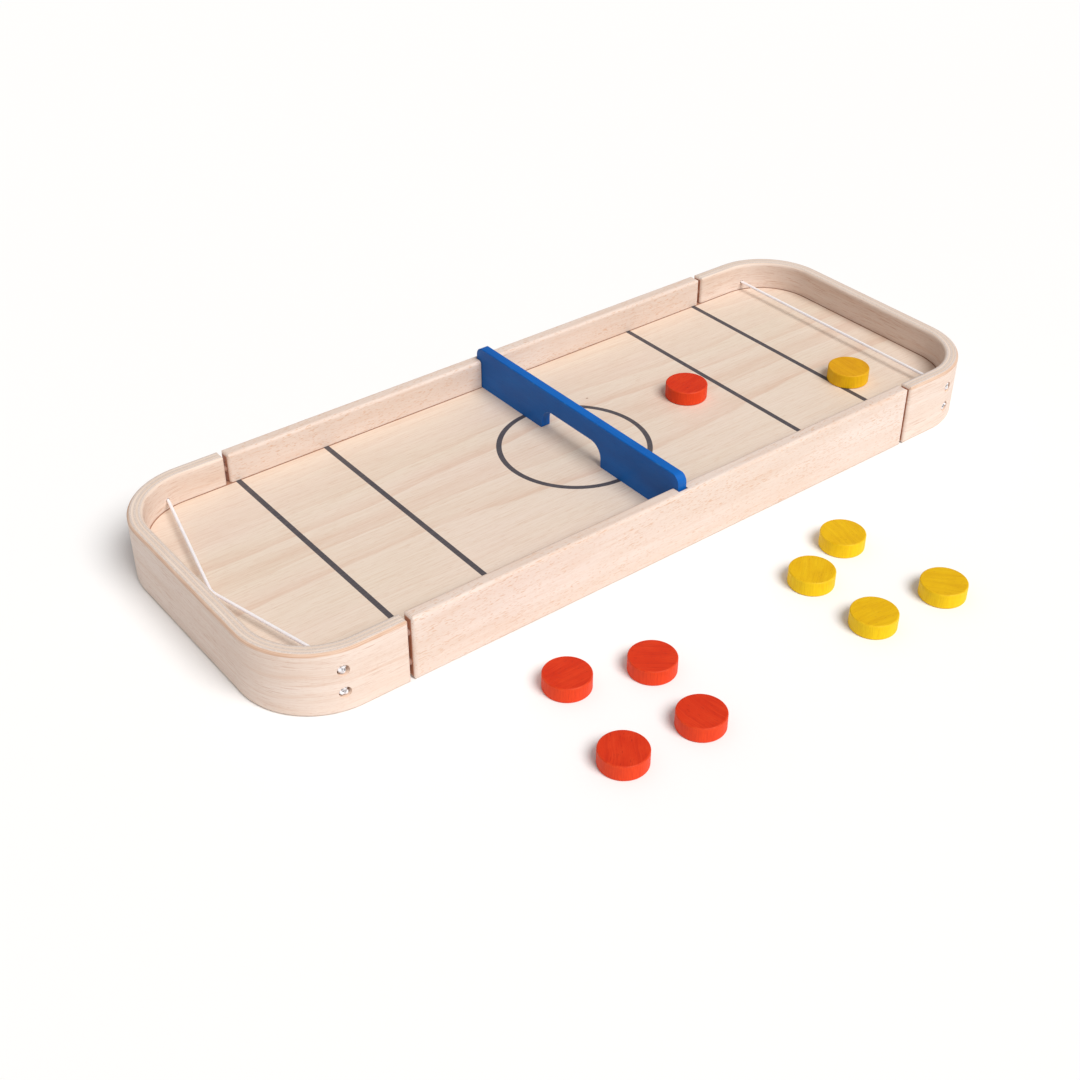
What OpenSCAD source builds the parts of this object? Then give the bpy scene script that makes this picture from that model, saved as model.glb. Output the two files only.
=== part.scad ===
// Tabletop sling shuffleboard: a two-sided plywood play board held at mid
// height in a low wooden frame, with a lift-out divider, four elastic cords
// and ten wooden pucks.  X runs along the table, Y across it, Z is up.
// The origin is the centre of the frame's footprint, on the resting plane.

/* [Frame] */
// Overall length of the frame, along X
frame_l = 592; // [560:1:640]
// Overall width of the frame, along Y
frame_w = 226; // [210:1:250]
// Height of the frame walls
frame_h = 46; // [42:1:54]
// Thickness of the frame walls
wall_t = 10; // [9:0.5:12]
// Outer radius of the bent corners
corner_r = 52; // [46:1:60]
// Radius of the eased long edges of the walls
edge_r = 2.4; // [1.4:0.1:2.4]
// Straight leg of each bent end, from the corner to the gap
leg_l = 32; // [28:1:40]
// Open gap between a bent end and a side rail
joint_gap = 2.4; // [1.6:0.1:3.2]

/* [Board] */
// Thickness of the plywood play board
board_t = 3; // [2.5:0.1:4]
// Depth that the board's edge reaches into the frame groove
tongue = 3.5; // [2.5:0.1:4]
// Extra depth and height of the groove over the board
groove_play = 0.3; // [0.2:0.05:0.5]

/* [Divider] */
// Thickness of the divider
divider_t = 7; // [5:0.5:8]
// How far the divider stands above the frame
divider_proud = 10; // [6:1:14]
// Width of the gate that the pucks go through
gate_w = 64; // [50:1:76]
// Height of the gate above the board
gate_h = 16.5; // [14:0.5:19]
// Radius of the gate's upper corners
gate_r = 10.5; // [4:0.5:12]
// Radius of the divider's upper end corners
divider_r = 6.5; // [3:0.5:8]
// Depth of the slot in each rail
slot_d = 7; // [5:0.5:7.5]
// Clearance between the divider and each side of its slot
slot_play = 0.4; // [0.2:0.05:0.8]

/* [Elastic cords] */
// Diameter of an elastic cord
cord_d = 2.2; // [1.6:0.1:2.6]
// Distance of a cord from the middle of the table
cord_x = 255.5; // [252:0.5:262]
// Share of its free travel that the left upper cord is drawn back by
drawn = 0.82; // [0.2:0.01:0.95]
// Height of a cord above or below the middle of the frame
cord_dz = 8; // [6.5:0.5:10]
// Diameter of the recess that holds a knot
recess_d = 7.6; // [6.5:0.1:8.5]
// Thickness of wall left behind a knot
recess_web = 5.2; // [4:0.1:6.5]
// Diameter of a knot
knot_d = 5.4; // [4.5:0.1:6]

/* [Pucks] */
// Diameter of a puck
puck_d = 30; // [26:0.5:32]
// Height of a puck
puck_h = 10.7; // [9:0.1:12.5]
// Radius of a puck's eased rim
puck_r = 0.9; // [0.4:0.1:1.5]

/* [Dowels] */
// Diameter of the dowels that bridge each gap
dowel_d = 5; // [4:0.5:5.5]
// Length of a dowel
dowel_l = 28; // [20:1:34]
// Height of a dowel above or below the middle of the frame
dowel_dz = 11; // [9:0.5:13]

/* [Hidden] */

$fn = 64;
eps = 0.01;
hl = frame_l / 2;
hw = frame_w / 2;
mid_z = frame_h / 2;
in_r = corner_r - wall_t;
board_top = mid_z + board_t / 2;
leg_x = hl - corner_r - leg_l;          // where a bent end stops
rail_x = leg_x - joint_gap;             // where a side rail stops
cord_up = mid_z + cord_dz;
cord_dn = mid_z - cord_dz;
puck_red = [[-143, -171], [-94, -190], [-104, -243], [-158, -239], [106, 3]];
puck_yellow = [[86, -172], [41, -188], [40, -241], [97, -247], [216, -52]];
wood = [0.93, 0.84, 0.74];
ply = [0.93, 0.85, 0.75];
blue = [0.13, 0.38, 0.72];
red = [0.84, 0.23, 0.14];
yellow = [0.90, 0.74, 0.12];
cord_c = [0.92, 0.91, 0.95];

// inner face of the bent corner, as a distance across Y, at the cords
wall_in_y = hw - corner_r
    + sqrt(in_r * in_r - pow(max(0, cord_x - hl + corner_r), 2));
knot_y = wall_in_y + recess_web;        // floor of the recesses

// the drawn cord: how far back its middle is, and the place of its apex
draw_x = drawn * (hl - wall_t - cord_d / 2 - cord_x);
draw_y = -2;
mouth_y = wall_in_y - 0.6;              // where it bends out of its bores
apex_r = puck_d / 2 + cord_d / 2;       // bend round a puck

// a rectangle with its four corners rounded, from [0,0] to [w,h]
module eased(w, h, r) {
    translate([r, 0]) square([w - 2 * r, h]);
    translate([0, r]) square([w, h - 2 * r]);
    for (x = [r, w - r], y = [r, h - r]) translate([x, y]) circle(r, $fn = 32);
}

// section of a wall: 0 is the outer face and wall_t the inner face,
// grooved half way up for the board
module wall_section() {
    difference() {
        eased(wall_t, frame_h, edge_r);
        translate([wall_t - tongue - groove_play, mid_z - board_t / 2])
            square([tongue + groove_play + 1, board_t + groove_play]);
    }
}

// a straight wall along X from x0 to x1, outer face on y = 0 and inner face
// at +Y, with its ends eased where ease_0 or ease_1 is 1
module straight_wall(x0, x1, ease_0, ease_1) {
    a = ease_0 == 1 ? x0 : x0 - 3 * edge_r;
    b = ease_1 == 1 ? x1 : x1 + 3 * edge_r;
    intersection() {
        translate([x0, 0, 0]) rotate([90, 0, 90])
            linear_extrude(x1 - x0) wall_section();
        translate([a, 0, -1]) linear_extrude(frame_h + 2)
            eased(b - a, wall_t, edge_r);
        translate([a, wall_t + 1, 0]) rotate([90, 0, 0])
            linear_extrude(wall_t + 2) eased(b - a, frame_h, edge_r);
    }
}

// bore for one dowel, centred on the gap, on the wall's middle line
module dowel_bore(z) {
    translate([leg_x - joint_gap / 2 - dowel_l / 2 - 0.5, wall_t / 2, z])
        rotate([0, 90, 0])
            cylinder(h = dowel_l + 1, d = dowel_d + 0.1, $fn = 48);
}

// near leg of the +X end, outer face on y = -hw
module leg() {
    translate([0, -hw, 0]) difference() {
        straight_wall(leg_x, hl - corner_r, 1, 0);
        for (s = [-1, 1]) dowel_bore(mid_z + s * dowel_dz);
    }
}

// near corner of the +X end
module bend() {
    translate([hl - corner_r, -hw + corner_r, 0]) rotate([0, 0, -90])
        rotate_extrude(angle = 90, $fn = 128)
            translate([corner_r, 0]) mirror([1, 0]) wall_section();
}

// recess and through bore for one cord, at the -Y wall of the +X end
module cord_bore(z) {
    translate([cord_x, -hw - 1, z]) rotate([-90, 0, 0]) {
        cylinder(h = hw + 1 - knot_y, d = recess_d, $fn = 64);
        cylinder(h = hw + 1, d = cord_d + 0.6, $fn = 32);
    }
}

// bent laminated end at +X: two legs, two bends and the end wall
module bent_end() {
    difference() {
        union() {
            for (m = [0, 1]) mirror([0, m, 0]) { leg(); bend(); }
            translate([hl, -hw + corner_r, 0]) rotate([90, 0, 180])
                linear_extrude(frame_w - 2 * corner_r) wall_section();
        }
        for (m = [0, 1], z = [cord_up, cord_dn]) mirror([0, m, 0]) cord_bore(z);
    }
}

// straight side rail at -Y, slotted from top to bottom for the divider
module side_rail() {
    translate([0, -hw, 0]) difference() {
        straight_wall(-rail_x, rail_x, 1, 1);
        for (m = [0, 1], s = [-1, 1]) mirror([m, 0, 0])
            dowel_bore(mid_z + s * dowel_dz);
        translate([-divider_t / 2 - slot_play, wall_t - slot_d, -1])
            cube([divider_t + 2 * slot_play, slot_d + 1, frame_h + 2]);
    }
}

module play_board() {
    bl = hl - wall_t + tongue;
    bw = hw - wall_t + tongue;
    color(ply) translate([-bl, -bw, mid_z - board_t / 2])
        linear_extrude(board_t) {
            r = in_r + tongue;
            translate([r, 0]) square([2 * bl - 2 * r, 2 * bw]);
            translate([0, r]) square([2 * bl, 2 * bw - 2 * r]);
            for (x = [r, 2 * bl - r], y = [r, 2 * bw - r])
                translate([x, y]) circle(r, $fn = 128);
        }
}

module rail_near() { color(wood) side_rail(); }
module rail_far() { color(wood) mirror([0, 1, 0]) side_rail(); }
module end_right() { color(wood) bent_end(); }
module end_left() { color(wood) mirror([1, 0, 0]) bent_end(); }

// eight dowels, two across each gap, with their ends chamfered
module dowels() {
    color(wood)
    for (mx = [0, 1], my = [0, 1], s = [-1, 1])
        mirror([mx, 0, 0]) mirror([0, my, 0])
            translate([leg_x - joint_gap / 2 - dowel_l / 2, -hw + wall_t / 2,
                mid_z + s * dowel_dz])
                rotate([0, 90, 0]) rotate_extrude($fn = 48) polygon([
                    [0, 0], [dowel_d / 2 - 0.5, 0], [dowel_d / 2, 0.8],
                    [dowel_d / 2, dowel_l - 0.8],
                    [dowel_d / 2 - 0.5, dowel_l], [0, dowel_l]]);
}

// outline of the divider seen along X, from its lower middle
module divider_outline() {
    w = frame_w - 2 * wall_t + 2 * slot_d - 3;
    h = mid_z - board_t / 2 + divider_proud;
    q = 1.2;
    difference() {
        union() {
            translate([-w / 2, q]) square([w, h - divider_r - q]);
            translate([-w / 2 + q, 0]) square([w - 2 * q, h - divider_r]);
            translate([-w / 2 + divider_r, q])
                square([w - 2 * divider_r, h - q]);
            for (s = [-1, 1]) {
                translate([s * (w / 2 - divider_r), h - divider_r])
                    circle(divider_r, $fn = 64);
                translate([s * (w / 2 - q), q]) circle(q, $fn = 32);
            }
        }
        // gate, with rounded upper corners
        translate([-gate_w / 2, -1]) square([gate_w, gate_h - gate_r + 1]);
        translate([-gate_w / 2 + gate_r, -1])
            square([gate_w - 2 * gate_r, gate_h + 1]);
        for (s = [-1, 1]) {
            translate([s * (gate_w / 2 - gate_r), gate_h - gate_r])
                circle(gate_r, $fn = 64);
            // eased foot on each side of the gate
            translate([s * gate_w / 2 - (s < 0 ? q : 0), 0]) difference() {
                translate([0, -1]) square([q, q + 1]);
                translate([s < 0 ? 0 : q, q]) circle(q, $fn = 32);
            }
        }
    }
}

module divider() {
    w = frame_w;
    h = mid_z - board_t / 2 + divider_proud;
    color(blue) intersection() {
        translate([-divider_t / 2, 0, board_top]) rotate([90, 0, 90])
            linear_extrude(divider_t) divider_outline();
        translate([-divider_t / 2, w / 2, board_top]) rotate([90, 0, 0])
            linear_extrude(w) {
                translate([0.9, 0]) square([divider_t - 1.8, h]);
                square([divider_t, h - 0.9]);
                for (x = [0.9, divider_t - 0.9])
                    translate([x, h - 0.9]) circle(0.9, $fn = 32);
            }
    }
}

// one straight cord, between the floors of its two recesses
module cord(x, z) {
    color(cord_c) translate([x, -knot_y, z]) rotate([-90, 0, 0])
        cylinder(h = 2 * knot_y, d = cord_d, $fn = 32);
}

// ball at p, a little thicker than the cord, that joins two stretches of it
module ball(p) {
    translate([p[0], p[1], 0]) sphere(d = cord_d + 0.2, $fn = 32);
}

// straight stretch of length l from p, in the direction t counted from +Y
// to -X, with a ball round its start
module bar(p, t, l) {
    translate([p[0], p[1], 0]) rotate([-90, 0, t])
        cylinder(h = l, d = cord_d, $fn = 32);
    ball(p);
}

// cord drawn back into a V: along its bores, bent at their mouths, and round
// an apex behind the middle
module drawn_cord(z) {
    t1 = atan2(draw_x, draw_y + mouth_y);
    t2 = atan2(draw_x, mouth_y - draw_y);
    e = apex_r * tan((t1 + t2) / 2);
    d1 = [-sin(t1), cos(t1)];
    d2 = [-sin(t2), -cos(t2)];
    p1 = [-cord_x, -mouth_y];
    p2 = [-cord_x, mouth_y];
    apex = [-cord_x - draw_x, draw_y];
    c = apex - e * d1 + apex_r * [cos(t1), sin(t1)];
    color(cord_c) translate([0, 0, z]) {
        translate([-cord_x, -knot_y, 0]) rotate([-90, 0, 0])
            cylinder(h = knot_y - mouth_y, d = cord_d, $fn = 32);
        bar(p1, t1, norm(apex - p1) - e);
        ball(apex - e * d1);
        translate([c[0], c[1], 0]) rotate([0, 0, 180 - t2])
            rotate_extrude(angle = t1 + t2, $fn = 64)
                translate([apex_r, 0]) circle(d = cord_d, $fn = 32);
        ball(apex - e * d2);
        bar(p2, 180 - t2, norm(apex - p2) - e);
        translate([-cord_x, mouth_y, 0]) rotate([-90, 0, 0])
            cylinder(h = knot_y - mouth_y, d = cord_d, $fn = 32);
    }
}

module elastic_left_top() { drawn_cord(cord_up); }
module elastic_right_top() { cord(cord_x, cord_up); }
module elastic_left_under() { cord(-cord_x, cord_dn); }
module elastic_right_under() { cord(cord_x, cord_dn); }

// eight knots, each seated flat on the floor of its recess
module cord_knots() {
    k = knot_d / 2;
    color(cord_c)
    for (mx = [0, 1], my = [0, 1], z = [cord_up, cord_dn])
        mirror([mx, 0, 0]) mirror([0, my, 0])
            translate([cord_x, knot_y, z]) rotate([-90, 0, 0])
                rotate_extrude($fn = 48) intersection() {
                    translate([0, k * 0.8]) circle(k, $fn = 48);
                    square([2 * k, 3 * k]);
                }
}

// a puck standing on z, with its rims eased
module puck(p, z, c) {
    color(c) translate([p[0], p[1], z]) rotate_extrude($fn = 96) {
        square([puck_d / 2 - puck_r, puck_h]);
        translate([0, puck_r]) square([puck_d / 2, puck_h - 2 * puck_r]);
        for (y = [puck_r, puck_h - puck_r])
            translate([puck_d / 2 - puck_r, y]) circle(puck_r, $fn = 32);
    }
}
module puck_red_1() { puck(puck_red[0], 0, red); }
module puck_red_2() { puck(puck_red[1], 0, red); }
module puck_red_3() { puck(puck_red[2], 0, red); }
module puck_red_4() { puck(puck_red[3], 0, red); }
module puck_red_5() { puck(puck_red[4], board_top, red); }
module puck_yellow_1() { puck(puck_yellow[0], 0, yellow); }
module puck_yellow_2() { puck(puck_yellow[1], 0, yellow); }
module puck_yellow_3() { puck(puck_yellow[2], 0, yellow); }
module puck_yellow_4() { puck(puck_yellow[3], 0, yellow); }
module puck_yellow_5() { puck(puck_yellow[4], board_top, yellow); }

play_board();
rail_near();
rail_far();
end_left();
end_right();
dowels();
divider();
elastic_left_top();
elastic_right_top();
elastic_left_under();
elastic_right_under();
cord_knots();
puck_red_1();
puck_red_2();
puck_red_3();
puck_red_4();
puck_red_5();
puck_yellow_1();
puck_yellow_2();
puck_yellow_3();
puck_yellow_4();
puck_yellow_5();
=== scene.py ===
import math

import bpy
import numpy as np
from mathutils import Matrix, Vector


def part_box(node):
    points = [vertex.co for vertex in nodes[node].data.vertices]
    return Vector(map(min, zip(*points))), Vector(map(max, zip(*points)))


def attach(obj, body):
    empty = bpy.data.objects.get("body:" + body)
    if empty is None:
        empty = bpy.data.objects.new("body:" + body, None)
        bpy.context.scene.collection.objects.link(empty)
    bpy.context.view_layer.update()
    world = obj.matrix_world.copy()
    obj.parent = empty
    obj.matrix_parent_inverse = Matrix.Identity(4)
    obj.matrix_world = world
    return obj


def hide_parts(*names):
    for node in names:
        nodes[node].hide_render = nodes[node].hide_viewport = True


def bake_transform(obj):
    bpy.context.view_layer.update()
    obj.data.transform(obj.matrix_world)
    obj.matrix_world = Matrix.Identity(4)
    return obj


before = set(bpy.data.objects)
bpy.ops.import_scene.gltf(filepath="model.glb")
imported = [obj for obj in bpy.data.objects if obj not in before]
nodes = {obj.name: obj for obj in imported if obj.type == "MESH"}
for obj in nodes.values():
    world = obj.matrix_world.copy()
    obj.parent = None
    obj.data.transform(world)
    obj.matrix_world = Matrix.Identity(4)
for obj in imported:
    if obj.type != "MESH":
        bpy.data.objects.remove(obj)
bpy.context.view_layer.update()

scene = bpy.context.scene

# ---------------------------------------------------------------------------
# Sizes in millimetres, as in the CAD part
# ---------------------------------------------------------------------------
HL, HW, H = 296.0, 113.0, 46.0          # half length, half width, height
WALL, RO = 10.0, 52.0                   # wall thickness, outer corner radius
RI = RO - WALL
CX, CY = HL - RO, HW - RO               # centres of the corner bends
LEG_X = CX - 32.0                       # where a bent end stops
BOARD_TOP, BOARD_BOT = 24.5, 21.5
CORD_X, CORD_D, CORD_UP, CORD_DN = 255.5, 2.2, 31.0, 15.0
MOUTH_Y = CY + math.sqrt(RI ** 2 - (CORD_X - CX) ** 2) - 0.6
KNOT_Y = MOUTH_Y + 0.6 + 5.2
MM = 0.001


# ---------------------------------------------------------------------------
# Small helper for shader graphs: arithmetic on sockets
# ---------------------------------------------------------------------------
def lin(r, g, b):
    """sRGB 0-255 to a linear RGBA."""
    def f(c):
        c /= 255.0
        return c / 12.92 if c <= 0.04045 else ((c + 0.055) / 1.055) ** 2.4
    return (f(r), f(g), f(b), 1.0)


class S:
    """A shader socket that takes + - * / with numbers and other sockets."""

    def __init__(self, t, s):
        self.t, self.s = t, s

    def m(self, op, *others, clamp=False):
        n = self.t.nodes.new("ShaderNodeMath")
        n.operation, n.use_clamp = op, clamp
        for i, x in enumerate((self,) + others):
            plug(self.t, n.inputs[i], x)
        return S(self.t, n.outputs[0])

    def __add__(self, o): return self.m("ADD", o)
    def __radd__(self, o): return self.m("ADD", o)
    def __sub__(self, o): return self.m("SUBTRACT", o)
    def __rsub__(self, o): return (self * -1.0) + o
    def __mul__(self, o): return self.m("MULTIPLY", o)
    def __rmul__(self, o): return self.m("MULTIPLY", o)
    def __truediv__(self, o): return self.m("DIVIDE", o)
    def abs(self): return self.m("ABSOLUTE")
    def max(self, o): return self.m("MAXIMUM", o)
    def min(self, o): return self.m("MINIMUM", o)
    def pow(self, o): return self.m("POWER", o)
    def frac(self): return self.m("FRACT")
    def floor(self): return self.m("FLOOR")
    def sin(self): return self.m("SINE")
    def sqrt(self): return self.m("SQRT")
    def clamp(self): return self.m("ADD", 0.0, clamp=True)
    def inv(self): return self * -1.0 + 1.0

    def step(self, a, b):
        """Smoothstep from 0 at a to 1 at b (a may be above b)."""
        n = self.t.nodes.new("ShaderNodeMapRange")
        n.interpolation_type = "SMOOTHSTEP"
        plug(self.t, n.inputs["Value"], self)
        lo, hi = (a, b) if a < b else (b, a)
        n.inputs["From Min"].default_value = lo
        n.inputs["From Max"].default_value = hi
        n.inputs["To Min"].default_value = 0.0 if a < b else 1.0
        n.inputs["To Max"].default_value = 1.0 if a < b else 0.0
        return S(self.t, n.outputs["Result"])

    def span(self, a, b, c, d):
        """Linear map from a..b to c..d, clamped."""
        n = self.t.nodes.new("ShaderNodeMapRange")
        plug(self.t, n.inputs["Value"], self)
        n.inputs["From Min"].default_value = a
        n.inputs["From Max"].default_value = b
        n.inputs["To Min"].default_value = c
        n.inputs["To Max"].default_value = d
        return S(self.t, n.outputs["Result"])


def plug(t, sock, x):
    if isinstance(x, S):
        t.links.new(x.s, sock)
    else:
        sock.default_value = x


class Mat:
    """A material with one Principled shader and helpers for its graph."""

    def __init__(self, name, rough=0.5, ior=1.45, specular=0.5, coat=0.0,
                 coat_rough=0.2, sheen=0.0):
        self.mat = bpy.data.materials.new(name)
        self.mat.use_nodes = True
        self.t = self.mat.node_tree
        self.t.nodes.clear()
        self.out = self.t.nodes.new("ShaderNodeOutputMaterial")
        self.b = self.t.nodes.new("ShaderNodeBsdfPrincipled")
        self.t.links.new(self.b.outputs[0], self.out.inputs["Surface"])
        self.b.inputs["Roughness"].default_value = rough
        self.b.inputs["IOR"].default_value = ior
        self.b.inputs["Specular IOR Level"].default_value = specular
        self.b.inputs["Coat Weight"].default_value = coat
        self.b.inputs["Coat Roughness"].default_value = coat_rough
        self.b.inputs["Sheen Weight"].default_value = sheen

    def set(self, name, x):
        plug(self.t, self.b.inputs[name], x)

    def obj_mm(self, offset=(0, 0, 0), turn=0.0):
        """Object coordinates in millimetres, moved by -offset and turned about Z."""
        tc = self.t.nodes.new("ShaderNodeTexCoord")
        n = self.t.nodes.new("ShaderNodeMapping")
        n.vector_type = "TEXTURE"
        self.t.links.new(tc.outputs["Object"], n.inputs["Vector"])
        n.inputs["Location"].default_value = [o * MM for o in offset]
        n.inputs["Rotation"].default_value = (0, 0, turn)
        n.inputs["Scale"].default_value = (MM, MM, MM)
        return S(self.t, n.outputs["Vector"])

    def uv(self):
        n = self.t.nodes.new("ShaderNodeUVMap")
        n.uv_map = "UVMap"
        return S(self.t, n.outputs["UV"])

    def normal(self):
        n = self.t.nodes.new("ShaderNodeNewGeometry")
        return self.sep(S(self.t, n.outputs["Normal"]))

    def sep(self, v):
        n = self.t.nodes.new("ShaderNodeSeparateXYZ")
        plug(self.t, n.inputs[0], v)
        return [S(self.t, o) for o in n.outputs]

    def vec(self, x, y, z):
        n = self.t.nodes.new("ShaderNodeCombineXYZ")
        for i, c in enumerate((x, y, z)):
            plug(self.t, n.inputs[i], c)
        return S(self.t, n.outputs[0])

    def noise(self, v, scale=1.0, detail=2.0, rough=0.5, dist=0.0, dim="3D", w=None):
        n = self.t.nodes.new("ShaderNodeTexNoise")
        n.noise_dimensions = dim
        if dim != "1D":
            plug(self.t, n.inputs["Vector"], v)
        if dim in ("1D", "4D"):
            plug(self.t, n.inputs["W"], v if dim == "1D" else w)
        n.inputs["Scale"].default_value = scale
        n.inputs["Detail"].default_value = detail
        n.inputs["Roughness"].default_value = rough
        n.inputs["Distortion"].default_value = dist
        return S(self.t, n.outputs["Fac"])

    def white(self, w):
        n = self.t.nodes.new("ShaderNodeTexWhiteNoise")
        n.noise_dimensions = "1D"
        plug(self.t, n.inputs["W"], w)
        return S(self.t, n.outputs["Value"])

    def cells(self, v, scale=1.0, randomness=1.0, out="Distance", feature="F1"):
        n = self.t.nodes.new("ShaderNodeTexVoronoi")
        n.feature = feature
        plug(self.t, n.inputs["Vector"], v)
        n.inputs["Scale"].default_value = scale
        n.inputs["Randomness"].default_value = randomness
        return S(self.t, n.outputs[out])

    def mix(self, f, a, b, mode="MIX"):
        n = self.t.nodes.new("ShaderNodeMix")
        n.data_type = "RGBA"
        n.blend_type = mode
        plug(self.t, n.inputs[0], f)
        plug(self.t, n.inputs[6], a)
        plug(self.t, n.inputs[7], b)
        return S(self.t, n.outputs[2])

    def ramp(self, f, stops, mode="LINEAR"):
        n = self.t.nodes.new("ShaderNodeValToRGB")
        n.color_ramp.interpolation = mode
        e = n.color_ramp.elements
        while len(e) < len(stops):
            e.new(0.5)
        for i, (p, c) in enumerate(stops):
            e[i].position, e[i].color = p, c
        plug(self.t, n.inputs[0], f)
        return S(self.t, n.outputs[0])

    def bump(self, h, distance, strength=1.0, normal=None):
        n = self.t.nodes.new("ShaderNodeBump")
        plug(self.t, n.inputs["Height"], h)
        n.inputs["Strength"].default_value = strength
        n.inputs["Distance"].default_value = distance
        if normal is not None:
            plug(self.t, n.inputs["Normal"], normal)
        return S(self.t, n.outputs[0])


def stretch(m, p, sx, sy, sz, seed=0.0):
    """Coordinates divided by the pattern's size along each axis."""
    x, y, z = p
    return m.vec(x / sx + seed, y / sy + seed * 0.37, z / sz + seed * 0.71)


# ---------------------------------------------------------------------------
# Wood
# ---------------------------------------------------------------------------
def solid_wood(m, along, a, b, seed, tone, vessel=1.0, patch=1.0):
    """Pale plank wood. along runs with the grain and a, b across it, in mm.
    Returns colour, roughness and height."""
    # broad cream and peach fields, and a slow figure along the plank
    broad = m.noise(m.vec(along / 130.0 + seed, a / 17.0, b / 17.0 + seed), 1.0, 2.0, 0.5)
    wavy = m.noise(m.vec(along / 55.0, a / 9.0 + seed, b / 9.0), 1.0, 2.0, 0.55)
    streak = m.noise(m.vec(along / 46.0, a / 1.9 + seed, b / 1.9), 1.0, 3.0, 0.6)
    fine = m.noise(m.vec(along / 14.0 + seed, a / 0.42, b / 0.42), 1.0, 2.0, 0.6)
    col = m.ramp(broad, [(0.30, tone[0]), (0.52, tone[1]), (0.74, tone[2])])
    col = m.mix(wavy.step(0.50, 0.80) * (0.30 * patch), col, tone[3])
    col = m.mix(streak.step(0.48, 0.80) * 0.40, col, tone[3])
    col = m.mix(streak.step(0.50, 0.22) * 0.36, col, tone[4])
    col = m.mix(fine.step(0.50, 0.85) * 0.34, col, tone[5])
    # vessels: short dashes along the grain, denser in some fields
    field = m.noise(m.vec(along / 60.0, a / 8.0 + seed, b / 8.0), 1.0, 1.0, 0.5)
    d1 = m.noise(m.vec(along / 2.8 + seed, a / 0.52, b / 0.52 + seed), 1.0, 0.0, 0.5)
    d2 = m.noise(m.vec(along / 4.6, a / 0.85 + seed, b / 0.85), 1.0, 0.0, 0.5)
    gate = field.step(0.25, 0.65) * 0.65 + 0.35
    dash = (d1.step(0.64, 0.76) * 0.80).max(d2.step(0.66, 0.79) * 0.85) * gate
    col = m.mix(dash * (0.72 * vessel), col, tone[6])
    rough = 0.52 + (fine - 0.5) * 0.20 + dash * 0.16 + (broad - 0.5) * 0.10
    height = fine * 0.35 + streak * 0.25 - dash * (0.9 * vessel)
    return col, rough, height


RAIL_TONES = [
    lin(223, 203, 189), lin(227, 209, 197), lin(231, 216, 206),
    lin(217, 184, 160), lin(238, 223, 211), lin(220, 190, 168), lin(208, 160, 122)]


def rail_material(name, seed):
    m = Mat(name, rough=0.5, specular=0.42)
    x, y, z = m.sep(m.obj_mm())
    # the grain drifts a little off the plank's length
    drift = (m.noise(m.vec(x / 210.0 + seed, y / 90.0, z / 60.0), 1.0, 1.0) - 0.5) * 7.0
    col, rough, h = solid_wood(m, x, y + drift, z + drift * 0.6, seed, RAIL_TONES)
    # the end faces in the gaps get a red brown, partly the end grain's own colour and partly painted
    # shade of the narrow gaps; the divider's slot walls are a little darker as painted shade
    nx, ny, nz = m.normal()
    flat_x = nx.abs().step(0.93, 0.99)
    pores = m.cells(m.vec(x / 3.0, y / 0.55, z / 0.55), 1.0)
    end_grain_and_gap_shade = m.mix(pores.step(0.45, 0.15) * 0.5, lin(206, 144, 112), lin(172, 108, 80))
    col = m.mix(flat_x * x.abs().step(208.9, 209.4) * 0.95, col, end_grain_and_gap_shade)
    # painted shade: the walls of the divider's slot are darkened
    painted_slot_shade = flat_x * x.abs().step(6.0, 4.5)
    col = m.mix(painted_slot_shade * 0.45, col, lin(190, 142, 112))
    # hands and shelves take the sharpness and some colour off the eased edges
    edge = (y.abs().step(HW - 2.6, HW - 0.5) * z.step(H - 2.6, H - 0.5))
    wear = edge * m.noise(m.vec(x / 18.0, y / 3.0, z / 3.0), 1.0, 3.0, 0.6).step(0.42, 0.70)
    col = m.mix(wear * 0.35, col, lin(216, 178, 150))
    m.set("Base Color", col)
    m.set("Roughness", rough + wear * 0.08)
    m.set("Normal", m.bump(h, 0.00006, 0.6))
    return m.mat


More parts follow.
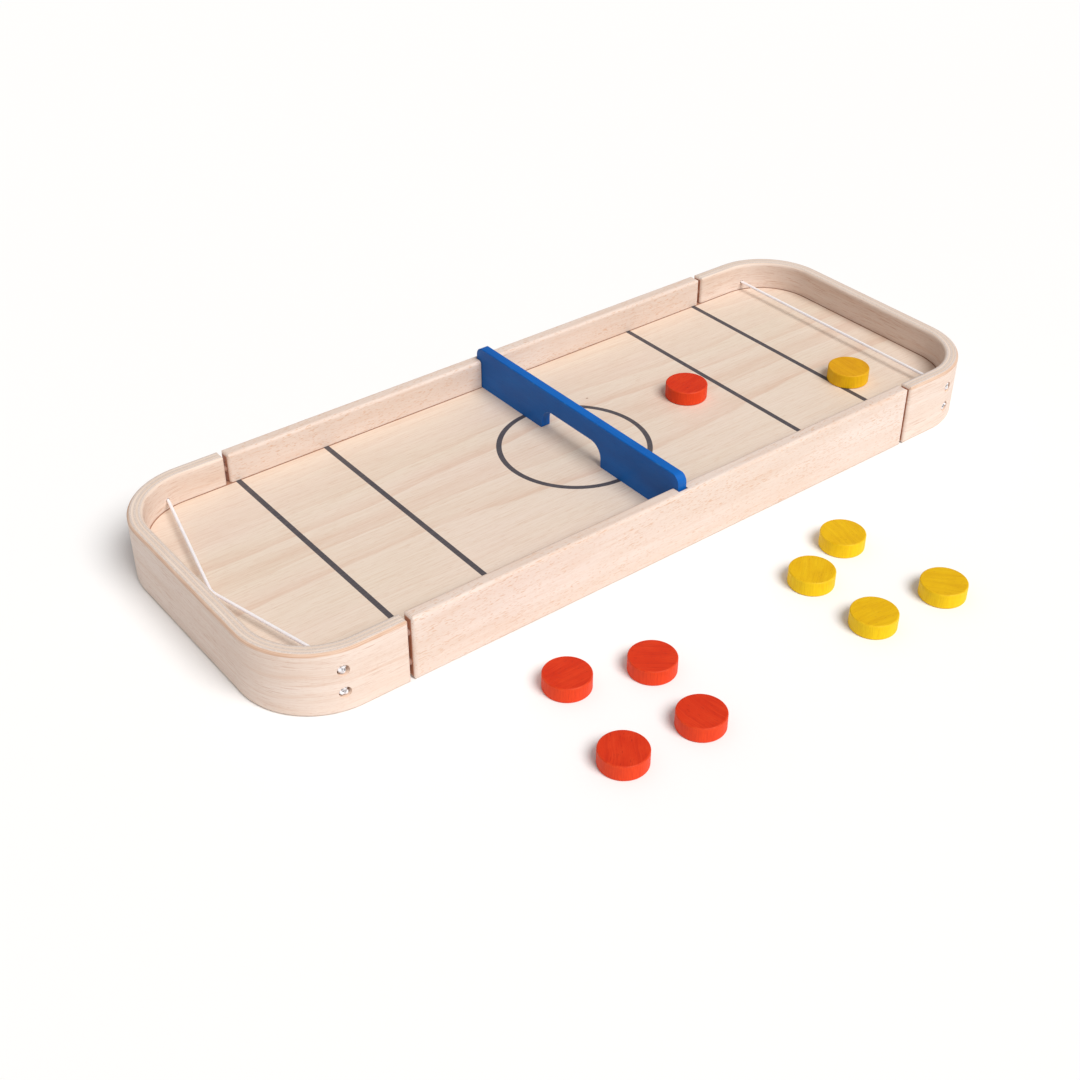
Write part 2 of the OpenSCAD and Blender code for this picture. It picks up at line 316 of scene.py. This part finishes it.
def end_material(name, seed):
    """Bent laminated end: seven plies that follow the bend."""
    m = Mat(name, rough=0.5, specular=0.42)
    x, y, z = m.sep(m.obj_mm())
    px, py = x.abs(), y.abs()
    qx, qy = (px - CX).max(0.0), (py - CY).max(0.0)
    rad = (qx * qx + qy * qy).sqrt()
    depth = RO - rad                                # from the outer face
    ang = qy.m("ARCTAN2", qx.max(1e-4))
    arc = py.min(CY) + ang * 47.0 + (CX - px).max(0.0)
    side = y.m("SIGN")
    s = arc * side                                  # along the bend from its middle
    wav = m.noise(m.vec(s / 60.0 + seed, depth / 6.0, z / 30.0), 1.0, 1.0)
    d = depth + (wav - 0.5) * 0.22
    ply_t = WALL / 7.0
    idx = (d / ply_t).floor().max(0.0).min(6.0)
    inply = (d / ply_t).frac()
    odd = (idx * 0.5).frac().step(0.2, 0.3)         # 1 for the cross plies
    # the faces: rotary veneer, long fine lines along the bend
    tones = [lin(225, 204, 189), lin(230, 212, 199), lin(235, 219, 208),
             lin(212, 178, 154), lin(237, 221, 208), lin(216, 184, 161), lin(196, 146, 112)]
    col, rough, h = solid_wood(m, s, z, depth * 2.0, seed, tones, vessel=0.34, patch=0.8)
    # the outer and inner veneers carry long rows of darker hairlines
    hair = m.noise(m.vec(s / 15.0, z / 0.62 + (wav - 0.5) * 4.0, seed), 1.0, 2.0, 0.62)
    dense = m.noise(m.vec(s / 90.0, z / 12.0, seed + 2.0), 1.0, 1.0).step(0.30, 0.66)
    inner = depth.step(8.8, 9.6)
    dense = dense.max(inner * 0.8) * 0.75 + 0.25
    col = m.mix(hair.step(0.56, 0.70) * dense * 0.62, col, lin(194, 148, 120))
    grow = m.noise(m.vec(s / 120.0, z / 3.0 + (wav - 0.5) * 3.0, seed), 1.0, 3.0, 0.6)
    col = m.mix(grow.step(0.52, 0.74) * 0.34, col, lin(212, 172, 144))
    # the edges: stripes, each ply with its own tone
    nx, ny, nz = m.normal()
    flat = nz.abs().step(0.45, 0.80)
    tone = m.white(idx * 3.7 + seed)
    lines = m.noise(m.vec(s / 26.0, depth / 0.30, seed), 1.0, 2.0, 0.6)
    dots = m.noise(m.vec(s / 0.9, depth / 0.7, z / 3.0), 1.0, 2.0, 0.6)
    lined = lines.step(0.32, 0.68)
    along_ply = m.mix(lined, lin(240, 225, 212), lin(224, 202, 184))
    cross_ply = m.mix(dots.step(0.35, 0.70), lin(212, 198, 189), lin(229, 219, 213))
    edge = m.mix(odd, along_ply, cross_ply)
    edge = m.mix((tone - 0.5).abs() * 0.5, edge, lin(206, 180, 156))
    glue = inply.step(0.10, 0.02).max(inply.step(0.92, 0.99))
    edge = m.mix(glue * 0.34, edge, lin(186, 156, 134))
    col = m.mix(flat, col, edge)
    # where the outermost ply is rounded over it shows a browner slope
    slope = z.step(H - 2.5, H - 1.7) * depth.step(2.5, 1.7)
    slope = slope * nz.abs().step(0.97, 0.80)
    col = m.mix(slope * 0.80, col, m.mix(lined, lin(224, 194, 170), lin(198, 154, 124)))
    # end grain in the gaps: its red brown is partly the end grain's own colour and partly painted shade
    # of the narrow gaps
    end = nx.abs().step(0.93, 0.99) * px.step(LEG_X + 0.7, LEG_X + 0.2)
    end_grain_and_gap_shade = m.mix(odd, lin(206, 146, 114), lin(182, 120, 90))
    col = m.mix(end * 0.95, col, end_grain_and_gap_shade)
    # bores and recesses are drilled, so their walls show fuzzy plies
    lx = (px - CORD_X)
    rz = (z - 23.0).abs() - 8.0
    off = (lx * lx + rz * rz).sqrt()
    bore = (off.step(1.62, 1.46) * py.step(99.0, 99.5)).max(
        off.step(3.98, 3.84) * py.step(106.2, 106.5))
    fuzz = m.noise(m.vec(x / 0.5, y / 1.2, z / 0.5), 1.0, 2.0, 0.7)
    col = m.mix(bore * 0.7, col, m.mix(fuzz, lin(226, 184, 152), lin(247, 226, 208)))
    wear_n = m.noise(m.vec(s / 14.0, z / 4.0, depth / 3.0), 1.0, 3.0, 0.6)
    rim = z.step(H - 2.6, H - 0.9) * depth.step(2.4, 0.6)
    col = m.mix(rim * wear_n.step(0.40, 0.68) * 0.30, col, lin(200, 160, 130))
    m.set("Base Color", col)
    m.set("Roughness", rough + flat * 0.05 + bore * 0.2)
    hh = h * (flat.inv() * 0.8 + 0.2) + (lines * 0.5 - glue * 0.9 + odd * dots * 0.5) * flat
    m.set("Normal", m.bump(hh, 0.00006, 0.6))
    return m.mat


def board_material(name, seed):
    """Plywood face veneer with undulating growth bands, and the printed lines."""
    m = Mat(name, rough=0.42, specular=0.45)
    x, y, z = m.sep(m.obj_mm())
    top = z.step(23.4, 23.6)
    ys = y + top * 31.0                             # the two faces differ
    slow = (m.noise(m.vec(x / 330.0 + seed, ys / 120.0, top * 7.0), 1.0, 1.0) - 0.5) * 58.0
    mid = (m.noise(m.vec(x / 75.0, ys / 40.0 + seed, top * 3.0), 1.0, 2.0) - 0.5) * 9.0
    t = ys + slow + mid
    t = t / 29.0
    t = t + m.noise(t * 0.9 + seed, 1.0, 1.0, dim="1D") * 2.2
    saw = t.frac()
    ring = m.white(t.floor() + seed)
    band = saw.step(0.0, 0.05) * (saw.inv().pow(1.3) * 0.45 + saw.inv().pow(9.0) * 0.55)
    band = band * (ring * 0.85 + 0.15)
    fade = m.noise(m.vec(x / 150.0, ys / 25.0 + 4.0, 0.0), 1.0, 2.0).step(0.30, 0.62)
    broad = m.noise(m.vec(x / 160.0, ys / 46.0, 2.0), 1.0, 2.0)
    fine = m.noise(m.vec(x / 30.0, ys / 0.75, z), 1.0, 3.0, 0.65)
    hair = m.noise(m.vec(x / 7.0, ys / 0.36, z), 1.0, 1.0, 0.5)
    col = m.ramp(broad, [(0.30, lin(228, 212, 194)), (0.55, lin(230, 213, 197)),
                         (0.75, lin(231, 212, 198))])
    col = m.mix(band * (fade * 0.45 + 0.42), col, lin(208, 166, 140))
    col = m.mix(fine.step(0.48, 0.72) * 0.40, col, lin(210, 178, 153))
    col = m.mix(fine.step(0.50, 0.26) * 0.40, col, lin(239, 225, 211))
    col = m.mix(hair.step(0.58, 0.76) * 0.42, col, lin(204, 168, 141))
    # rare pin knots
    cell = m.cells(m.vec(x / 62.0 + seed, ys / 40.0, top), 1.0)
    pin = cell.step(0.026, 0.012)
    col = m.mix(pin * 0.75, col, lin(140, 92, 62))
    # sawn edge of the sheet
    nx, ny, nz = m.normal()
    sawn = nz.abs().step(0.6, 0.3)
    col = m.mix(sawn, col, lin(176, 138, 108))
    # a thin dark line where the walls meet the board, partly old finish and partly painted shade, and a
    # faint wider band of painted shade near the walls
    qx, qy = (x.abs() - CX), (y.abs() - CY)
    rim = RI - (qx.max(0.0) * qx.max(0.0) + qy.max(0.0) * qy.max(0.0)).sqrt()
    straight = (HW - WALL - y.abs()).min(HL - WALL - x.abs())
    rim = rim.min(straight)
    seam_finish_and_shade = rim.step(1.0, 0.35)
    col = m.mix(seam_finish_and_shade * 0.85, col, lin(150, 90, 60))
    # painted shade: a faint darker band on the board within 9 mm of the walls
    painted_wall_shade = rim.step(9.0, 0.0)
    col = m.mix(painted_wall_shade * 0.10, col, lin(200, 160, 132))
    # printed lines and circle, dark grey, with the grain showing through
    bleed = (m.noise(m.vec(x / 1.3, y / 0.5, 0.0), 1.0, 2.0) - 0.5) * 0.24
    px = x.abs()
    r = (x * x + y * y).sqrt()
    l1 = ((px - 204.0).abs() + bleed).step(2.06, 1.84)
    l2 = ((px - 136.0).abs() + bleed).step(2.06, 1.84)
    ci = ((r - 52.0).abs() + bleed).step(2.00, 1.76)
    ink = l1.max(l2).max(ci)
    ink_c = m.mix(fine.step(0.35, 0.75), lin(62, 60, 68), lin(84, 79, 84))
    thin = m.noise(m.vec(x / 2.2, y / 0.7, 5.0), 1.0, 2.0, 0.7).step(0.70, 0.86) * 0.25
    col = m.mix(ink * (thin.inv() * 0.97), col, ink_c)
    m.set("Base Color", col)
    rough = 0.46 + (fine - 0.5) * 0.16 + (broad - 0.5) * 0.12 + ink * 0.06
    m.set("Roughness", rough)
    h = fine * 0.5 + hair * 0.3 - band * 0.2 + ink * 0.5 - pin * 1.0
    m.set("Normal", m.bump(h, 0.00004, 0.6))
    return m.mat


def dowel_material(name):
    m = Mat(name, rough=0.6, specular=0.4)
    x, y, z = m.sep(m.obj_mm())
    col, rough, h = solid_wood(m, x, y, z, 5.3, RAIL_TONES, vessel=0.7)
    flute = (y.m("ARCTAN2", z - 12.0) * 9.0).sin()
    # painted shade: the dowels are mostly a dark brown so that they read as the shade deep in the
    # narrow gaps
    m.set("Base Color", m.mix(0.80, col, lin(128, 78, 58)))
    m.set("Roughness", rough + 0.08)
    m.set("Normal", m.bump(h + flute * 0.3, 0.00008, 0.6))
    return m.mat


# ---------------------------------------------------------------------------
# Paint and stain
# ---------------------------------------------------------------------------
def divider_material(name):
    """Satin blue paint, brushed over close-grained board."""
    m = Mat(name, rough=0.4, specular=0.26)
    x, y, z = m.sep(m.obj_mm())
    grain = m.noise(m.vec(x / 0.7, y / 34.0, z / 0.9), 1.0, 3.0, 0.6)
    peel = m.noise(m.vec(x, y, z), 0.9, 2.0, 0.5)
    cloud = m.noise(m.vec(x / 20.0, y / 40.0, z / 16.0), 1.0, 2.0)
    pores = m.noise(m.vec(x / 0.4, y / 4.0, z / 0.4), 1.0, 0.0).step(0.74, 0.84)
    col = m.ramp(cloud, [(0.30, lin(0, 89, 172)), (0.70, lin(4, 101, 189))])
    col = m.mix(grain.step(0.52, 0.80) * 0.32, col, lin(0, 71, 150))
    col = m.mix(grain.step(0.44, 0.20) * 0.28, col, lin(18, 120, 206))
    col = m.mix(pores * 0.4, col, lin(0, 50, 114))
    # paint is thin on the long upper edges and the gate's corners
    ex = x.abs().step(2.80, 3.35)
    ez = z.step(55.0, 55.85)
    worn = m.noise(m.vec(x / 2.0, y / 7.0, z / 2.0), 1.0, 3.0, 0.65).step(0.56, 0.70)
    wear = (ex * ez) * worn
    col = m.mix(wear * 0.55, col, lin(70, 146, 206))
    m.set("Base Color", col)
    m.set("Roughness", 0.44 + (cloud - 0.5) * 0.14 + grain * 0.08 - wear * 0.06)
    m.set("Normal", m.bump(grain * 0.5 + peel * 0.35 - pores * 0.5, 0.00007, 0.6))
    return m.mat


def puck_material(name, centre, base_z, turn, seed, tones):
    """Stained maple disc. Its planks' grain runs across the top, and the stain
    goes darker into the pores and lighter on the rims."""
    m = Mat(name, rough=0.5, specular=0.24)
    x, y, z = m.sep(m.obj_mm((centre[0], centre[1], base_z), turn))
    warp = (m.noise(m.vec(x / 26.0 + seed, y / 16.0, z / 30.0), 1.0, 1.0) - 0.5) * 5.0
    yy = y + warp
    grain = m.noise(m.vec(x / 15.0, yy / 0.55 + seed, z / 2.4), 1.0, 3.0, 0.62)
    ring = m.noise(m.vec(x / 60.0, yy / 3.2 + seed, z / 9.0), 1.0, 1.0, 0.5)
    cloud = m.noise(m.vec(x / 13.0 + seed, y / 9.0, z / 9.0), 1.0, 2.0)
    pores = m.noise(m.vec(x / 2.4 + seed, yy / 0.42, z / 1.6), 1.0, 0.0).step(0.70, 0.82)
    nx, ny, nz = m.normal()
    flank = nz.abs().step(0.55, 0.25)
    ang = y.m("ARCTAN2", x)
    lath = m.noise(m.vec(ang * 22.0, z / 9.0, seed), 1.0, 3.0, 0.62)
    tool = m.noise(m.vec(ang * 2.2, z / 0.7, seed), 1.0, 2.0, 0.5)
    col = m.ramp(cloud, [(0.28, tones[0]), (0.52, tones[1]), (0.76, tones[2])])
    g = m.mix(flank, grain, lath)
    g1 = S(m.t, g.s)
    col = m.mix(g1.step(0.50, 0.78) * 0.55, col, tones[3])
    col = m.mix(g1.step(0.46, 0.22) * 0.42, col, tones[4])
    col = m.mix(ring.step(0.50, 0.66) * 0.22 * flank.inv(), col, tones[3])
    col = m.mix(pores * 0.45 * flank.inv(), col, tones[5])
    # painted light: the sides take a brighter tone (tones[6]) than the top, standing in for the
    # stronger light on the discs' sides
    col = m.mix(flank * 0.70, col, m.mix(g1.step(0.35, 0.68) * 0.5, tones[6], tones[1]))
    # rims: the eased edge is sanded thinner
    rr = (x * x + y * y).sqrt()
    rim = rr.step(13.9, 14.6) * (z - 5.35).abs().step(4.1, 4.9)
    scuff = m.noise(m.vec(ang * 4.0, z / 1.5, seed + 3.0), 1.0, 3.0, 0.6).step(0.40, 0.66)
    col = m.mix(rim * (scuff * 0.45 + 0.15), col, tones[4])
    m.set("Base Color", col)
    m.set("Roughness", 0.52 + (cloud - 0.5) * 0.14 + g1 * 0.08 + pores * 0.1 - rim * 0.06)
    hh = g1 * 0.6 - pores * 0.9 * flank.inv() + tool * 0.25 * flank
    m.set("Normal", m.bump(hh, 0.00009, 0.6))
    return m.mat


# each list's last tone is a painted lighter colour for the discs' sides
RED = [lin(208, 48, 16), lin(214, 54, 19), lin(219, 61, 24), lin(186, 36, 12),
       lin(228, 80, 38), lin(150, 24, 8), lin(242, 74, 26)]
YELLOW = [lin(222, 172, 4), lin(228, 180, 6), lin(232, 188, 12), lin(204, 148, 2),
          lin(240, 202, 36), lin(176, 118, 2), lin(252, 214, 8)]
AMBER = [lin(214, 152, 8), lin(220, 160, 10), lin(226, 168, 16), lin(198, 134, 4),
         lin(234, 186, 38), lin(172, 106, 2), lin(246, 200, 10)]


# ---------------------------------------------------------------------------
# Braided elastic cord
# ---------------------------------------------------------------------------
def cord_material(name):
    """White braid. The UV map's u runs round the cord in turns and v along it
    in millimetres."""
    m = Mat(name, rough=0.75, specular=0.3, sheen=0.25)
    m.b.inputs["Subsurface Weight"].default_value = 1.0
    m.b.inputs["Subsurface Radius"].default_value = (1.0, 1.0, 1.0)
    m.b.inputs["Subsurface Scale"].default_value = 0.0022
    u, v, _ = m.sep(m.uv())
    a = u * 8.0 + v / 1.30
    b = u * 8.0 - v / 1.30
    fa, fb = a.frac(), b.frac()
    over = ((a.floor() + b.floor()) * 0.5).frac().step(0.2, 0.3)
    pa = (fa - 0.5).abs() * 2.0
    pb = (fb - 0.5).abs() * 2.0
    cross = over * pa + over.inv() * pb
    gap = cross.step(0.62, 0.98)
    fil = m.noise(m.vec(a * 5.0, b * 0.8, 0.0), 1.0, 1.0) * over \
        + m.noise(m.vec(a * 0.8, b * 5.0, 3.0), 1.0, 1.0) * over.inv()
    soil = m.noise(m.vec(u * 2.0, v / 9.0, 1.0), 1.0, 3.0, 0.6)
    col = m.ramp(soil, [(0.25, lin(244, 242, 249)), (0.75, lin(238, 235, 243))])
    # painted shade: the grooves between the strands are darkened
    col = m.mix(gap * 0.45, col, lin(196, 190, 202))
    col = m.mix(fil.step(0.50, 0.80) * 0.25, col, lin(249, 248, 252))
    m.set("Base Color", col)
    m.set("Roughness", 0.70 + (soil - 0.5) * 0.1 + gap * 0.1)
    m.set("Normal", m.bump(fil * 0.6 - gap * 0.5, 0.00005, 0.6))
    return m.mat


def mesh_object(name, verts, faces, uvs, mat, smooth=True):
    me = bpy.data.meshes.new(name)
    me.from_pydata(verts, [], faces)
    lay = me.uv_layers.new(name="UVMap")
    lay.data.foreach_set("uv", np.array(uvs, np.float32).ravel())
    me.polygons.foreach_set("use_smooth", [smooth] * len(me.polygons))
    me.materials.append(mat)
    me.validate()
    me.update()
    o = bpy.data.objects.new(name, me)
    scene.collection.objects.link(o)
    return o


def braid_height(u, v):
    """Height of the plait at u turns round and v mm along, from 0 to 1."""
    a, b = u * 8 + v / 1.30, u * 8 - v / 1.30
    over = (np.floor(a) + np.floor(b)) % 2 == 1
    pa, pb = np.abs(a % 1 - 0.5) * 2, np.abs(b % 1 - 0.5) * 2
    p = np.where(over, pa, pb)
    q = np.where(over, pb, pa)
    return np.sqrt(np.clip(1 - (p * 0.94) ** 2, 0, 1)) * (1 - 0.22 * q ** 2)


def tube(points, radius, sides, v0=0.0, relief=0.0, taper=None, caps=True):
    """Closed tube along points (mm), with parallel-transported rings.
    Returns verts (m), faces and per-loop uvs."""
    p = np.array(points, float)
    n = len(p)
    tan = np.gradient(p, axis=0)
    tan /= np.linalg.norm(tan, axis=1)[:, None]
    ref = np.array([0.0, 0.0, 1.0])
    if abs(tan[0] @ ref) > 0.9:
        ref = np.array([1.0, 0.0, 0.0])
    nor = np.zeros_like(p)
    nor[0] = np.cross(tan[0], np.cross(ref, tan[0]))
    nor[0] /= np.linalg.norm(nor[0])
    for i in range(1, n):
        w = nor[i - 1] - tan[i] * (nor[i - 1] @ tan[i])
        nor[i] = w / np.linalg.norm(w)
    bi = np.cross(tan, nor)
    seg = np.linalg.norm(np.diff(p, axis=0), axis=1)
    s = np.concatenate([[0], np.cumsum(seg)]) + v0
    th = np.arange(sides) / sides
    rad = np.full(n, float(radius)) if taper is None else radius * np.array(taper, float)
    uu, vv = np.meshgrid(th, s)
    r = rad[:, None] * np.ones_like(uu)
    if relief:
        r = r + (braid_height(uu, vv) - 0.75) * relief * (rad / radius)[:, None]
    ring = (p[:, None, :]
            + nor[:, None, :] * (np.cos(2 * np.pi * uu) * r)[..., None]
            + bi[:, None, :] * (np.sin(2 * np.pi * uu) * r)[..., None])
    verts = [tuple(c) for c in ring.reshape(-1, 3) * MM]
    faces, uvs = [], []
    for i in range(n - 1):
        for j in range(sides):
            k = (j + 1) % sides
            a, b, c, d = i * sides + j, i * sides + k, (i + 1) * sides + k, (i + 1) * sides + j
            faces.append((a, b, c, d))
            u0, u1 = j / sides, (j + 1) / sides
            uvs += [(u0, s[i]), (u1, s[i]), (u1, s[i + 1]), (u0, s[i + 1])]
    if caps:
        for i, flip in ((0, True), (n - 1, False)):
            base = [i * sides + j for j in range(sides)]
            c = len(verts)
            verts.append(tuple(p[i] * MM))
            for j in range(sides):
                k = (j + 1) % sides
                f = (base[k], base[j], c) if flip else (base[j], base[k], c)
                faces.append(f)
                uvs += [(k / sides, s[i]), (j / sides, s[i]), (j / sides, s[i])]
    return verts, faces, uvs


def vee(y, apex_y, depth, r=16.1):
    """How far a drawn cord's centreline is back at y, for a V that is depth
    deep where its two straight branches would meet."""
    k1 = depth / (apex_y + MOUTH_Y)
    k2 = depth / (MOUTH_Y - apex_y)
    straight = np.clip(np.minimum(k1 * (y + MOUTH_Y), k2 * (MOUTH_Y - y)), 0, None)
    t1, t2 = math.atan(k1), math.atan(k2)
    e = r * math.tan((t1 + t2) / 2)
    ya, yb = apex_y - e * math.cos(t1), apex_y + e * math.cos(t2)
    cy = ya + r * math.sin(t1)
    cx = (depth - e * math.sin(t1)) - r * math.cos(t1)
    arc = cx + np.sqrt(np.clip(r * r - (y - cy) ** 2, 0, None))
    return np.where((y > ya) & (y < yb), arc, straight)


CORD_MAT = cord_material("elastic_braid")


def make_cord(side, tier):
    sx = -1 if side == "left" else 1
    z = CORD_UP if tier == "top" else CORD_DN
    drawn = (side, tier) == ("left", "top")
    apex_y, depth = (-2.0, 24.108) if drawn else (0.0, 29.6)
    half = KNOT_Y - 0.1
    ys = np.linspace(-half, half, 761)
    back = vee(ys, apex_y, depth)
    # round the bend at each bore's mouth a little
    ker = np.ones(9) / 9
    back = np.convolve(np.pad(back, 4, mode="edge"), ker, mode="valid")
    x = sx * (CORD_X + (back if drawn else 0 * back))
    pts = np.stack([x, ys, np.full_like(ys, z)], 1)
    name = f"cord_{side}_{tier}"
    v, f, uv = tube(pts, CORD_D / 2 - 0.05, 24, relief=0.20)
    o = mesh_object(name, v, f, uv, CORD_MAT)
    node = f"elastic_{side}_{tier}"
    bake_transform(o)
    # weight: none in the bores and at their mouths, all of it at the apex
    full = 24.1 if drawn else 29.0
    co = np.array([c.co for c in o.data.vertices], float)
    w = np.interp(co[:, 1] / MM, ys, back) / full
    if not drawn:
        w = w / w.max()
    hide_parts(node)
    return o


def make_knot(name, sx, sy, z, seed):
    """An overhand knot pulled tight against the floor of its recess, with the
    cut end of the cord frayed."""
    rng = np.random.default_rng(seed)
    t = np.linspace(0.0, 2 * np.pi, 150)
    turn = rng.uniform(0, 2 * np.pi)
    a = np.sin(t) + 2 * np.sin(2 * t)
    b = np.cos(t) - 2 * np.cos(2 * t)
    c = -np.sin(3 * t)
    ca, sa = math.cos(turn), math.sin(turn)
    lx = (a * ca - b * sa) * 0.76
    lz = (a * sa + b * ca) * 0.76
    ly = c * 0.85 + 2.7
    loop = np.stack([lx, ly, lz], 1)
    verts, faces, uvs = [], [], []

    def add(part):
        v, f, uv = part
        base = len(verts)
        # local frame: x, y outwards from the recess floor, z
        for p in v:
            verts.append((sx * CORD_X * MM + p[0], sy * (KNOT_Y * MM + p[1]), z * MM + p[2]))
        for q in f:
            q = tuple(i + base for i in q)
            faces.append(q if sy > 0 else q[::-1])
        n = 0
        for q in f:
            chunk = uv[n:n + len(q)]
            n += len(q)
            uvs.extend(chunk if sy > 0 else chunk[::-1])

    # the loop closes on itself, so its two ends sit inside the tube
    add(tube(loop, 1.08, 14, relief=0.16))
    # tail of the cord, leaning out of the recess
    lean = rng.uniform(-0.9, 0.9, 2)
    tail = np.array([[lean[0] * k * k * 1.4 + 0.5 * ca, 1.6 + 2.6 * k, lean[1] * k * k * 1.4 + 0.5 * sa]
                     for k in np.linspace(0, 1, 16)])
    add(tube(tail, 1.06, 14, relief=0.16))
    end, d = tail[-1], tail[-1] - tail[-3]
    d /= np.linalg.norm(d)
    for _ in range(26):
        ang, sp = rng.uniform(0, 2 * np.pi), rng.uniform(0.15, 1.25)
        side = np.array([math.cos(ang), 0.0, math.sin(ang)])
        length = rng.uniform(0.45, 0.95)
        root = end - d * 0.25 + side * rng.uniform(0.1, 0.8)
        ks = np.linspace(0, 1, 7)
        pts = [root + d * length * k + side * sp * k * k * 0.8
               + np.array([0.0, -0.25 * sp * k ** 3, 0.0]) for k in ks]
        pts = np.array(pts)
        rr = np.hypot(pts[:, 0], pts[:, 2])
        lim = 3.45
        over = np.clip(rr / lim, 1, None)
        pts[:, 0] /= over
        pts[:, 2] /= over
        add(tube(pts, 0.11, 5, taper=1.0 - 0.55 * ks))
    o = mesh_object(name, verts, faces, uvs, CORD_MAT)
    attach(o, "frame")
    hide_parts("cord_knots")
    return o


# ---------------------------------------------------------------------------
# Camera first
# ---------------------------------------------------------------------------
cam_data = bpy.data.cameras.new("camera")
cam_data.sensor_width, cam_data.sensor_fit = 36.0, "HORIZONTAL"
cam_data.lens = 51.72
cam_data.clip_start, cam_data.clip_end = 0.02, 60.0
cam = bpy.data.objects.new("camera", cam_data)
scene.collection.objects.link(cam)
right = Vector((0.78965, -0.61356, 0.00068))
up = Vector((0.3586, 0.46242, 0.81091))
fwd = right.cross(up) * -1.0
cam.matrix_world = Matrix(((right.x, up.x, -fwd.x, -0.57377),
                           (right.y, up.y, -fwd.y, -0.69918),
                           (right.z, up.z, -fwd.z, 0.59657),
                           (0, 0, 0, 1)))
scene.camera = cam

# ---------------------------------------------------------------------------
# Finishes on the CAD nodes
# ---------------------------------------------------------------------------


def finish_node(name, mat):
    o = nodes[name]
    o.data.materials.clear()
    o.data.materials.append(mat)


finish_node("rail_near", rail_material("rail_near_wood", 1.7))
finish_node("rail_far", rail_material("rail_far_wood", 8.4))
finish_node("end_left", end_material("end_left_laminate", 3.1))
finish_node("end_right", end_material("end_right_laminate", 12.6))
finish_node("play_board", board_material("play_board_ply", 2.2))
finish_node("dowels", dowel_material("dowel_wood"))
finish_node("divider", divider_material("divider_paint"))

for colour, tones in (("red", RED), ("yellow", YELLOW)):
    for i in range(1, 6):
        n = f"puck_{colour}_{i}"
        lo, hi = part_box(n)
        c = (lo + hi) / 2 / MM
        turn = (i * 2.399 + (0.7 if colour == "red" else 2.1)) % math.pi
        tint = AMBER if n == "puck_yellow_5" else tones
        finish_node(n, puck_material(f"{n}_stain", (c.x, c.y), lo.z / MM, turn,
                                     i * 4.7 + (0.0 if colour == "red" else 31.0), tint))

# ---------------------------------------------------------------------------
# Cords and knots
# ---------------------------------------------------------------------------
for side in ("left", "right"):
    for tier in ("top", "under"):
        make_cord(side, tier)
        for wall, sy in (("near", -1), ("far", 1)):
            make_knot(f"knot_{side}_{tier}_{wall}", -1 if side == "left" else 1, sy,
                      CORD_UP if tier == "top" else CORD_DN,
                      [side == "left", tier == "top", sy > 0, 7])

# ---------------------------------------------------------------------------
# Floor and light
# ---------------------------------------------------------------------------
fm = Mat("floor_white", rough=0.9, specular=0.1)
fx, fy, fz = fm.sep(fm.obj_mm())
fm.set("Base Color", fm.ramp(fm.noise(fm.vec(fx / 900.0, fy / 900.0, 0.0), 1.0, 1.0),
                             [(0.3, (0.945, 0.945, 0.945, 1)), (0.7, (0.955, 0.955, 0.955, 1))]))
fme = bpy.data.meshes.new("floor")
fme.from_pydata([(-6, -6, 0), (6, -6, 0), (6, 6, 0), (-6, 6, 0)], [], [(0, 1, 2, 3)])
fme.materials.append(fm.mat)
floor = bpy.data.objects.new("floor", fme)
scene.collection.objects.link(floor)
floor.location.z = -0.00005

world = bpy.data.worlds.new("studio")
world.use_nodes = True
bg = world.node_tree.nodes["Background"]
bg.inputs["Color"].default_value = (1.0, 0.955, 0.945, 1)
bg.inputs["Strength"].default_value = 0.35
scene.world = world

sun_data = bpy.data.lights.new("key", "SUN")
sun_data.energy = 2.9
sun_data.angle = math.radians(35)
sun_data.color = (1.0, 0.99, 0.975)
sun = bpy.data.objects.new("key", sun_data)
scene.collection.objects.link(sun)
sun.rotation_mode = "QUATERNION"
sun.rotation_quaternion = Vector((-0.05, 0.47, -0.60)).to_track_quat("-Z", "Y")

scene.view_settings.view_transform = "Standard"
scene.view_settings.look = "None"
scene.view_settings.exposure = 0.0
scene.view_settings.gamma = 1.0
